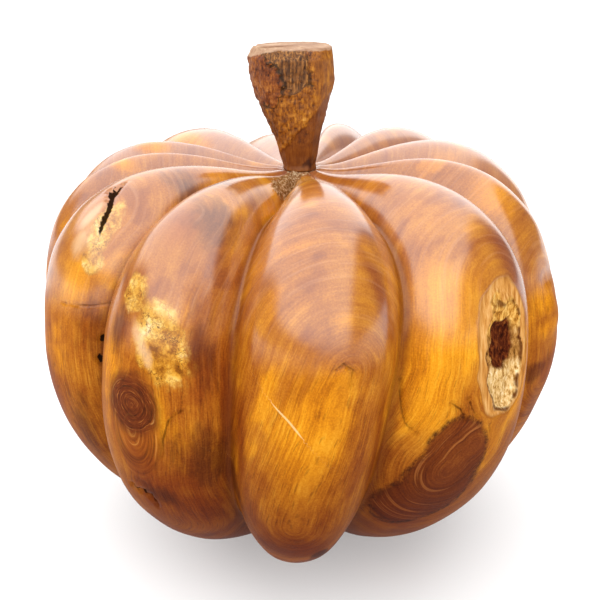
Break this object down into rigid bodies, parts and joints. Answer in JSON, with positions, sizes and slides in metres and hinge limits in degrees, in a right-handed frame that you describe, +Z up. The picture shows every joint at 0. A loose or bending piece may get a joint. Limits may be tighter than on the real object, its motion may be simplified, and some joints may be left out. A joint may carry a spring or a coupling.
{
  "type": "carved wooden pumpkin",
  "caption": "Ribbed pumpkin ornament carved from polished root wood, with a hewn stem pegged into its crown and a small flat spot to rest on.",
  "frame": {"origin": "middle of the flat spot that the pumpkin rests on", "axes": "+Z up through the crown, -Y towards the front lobe"},
  "size_m": [0.3424, 0.3558, 0.3273],
  "materials": {
    "body_wood": "polished",
    "stem_wood": "hewn, oiled",
    "dowel_wood": "bare"
  },
  "bodies": {
    "root": {"pumpkin_body": "body_wood", "pumpkin_stem": "stem_wood", "stem_dowel": "dowel_wood"}
  },
  "joints": []
}
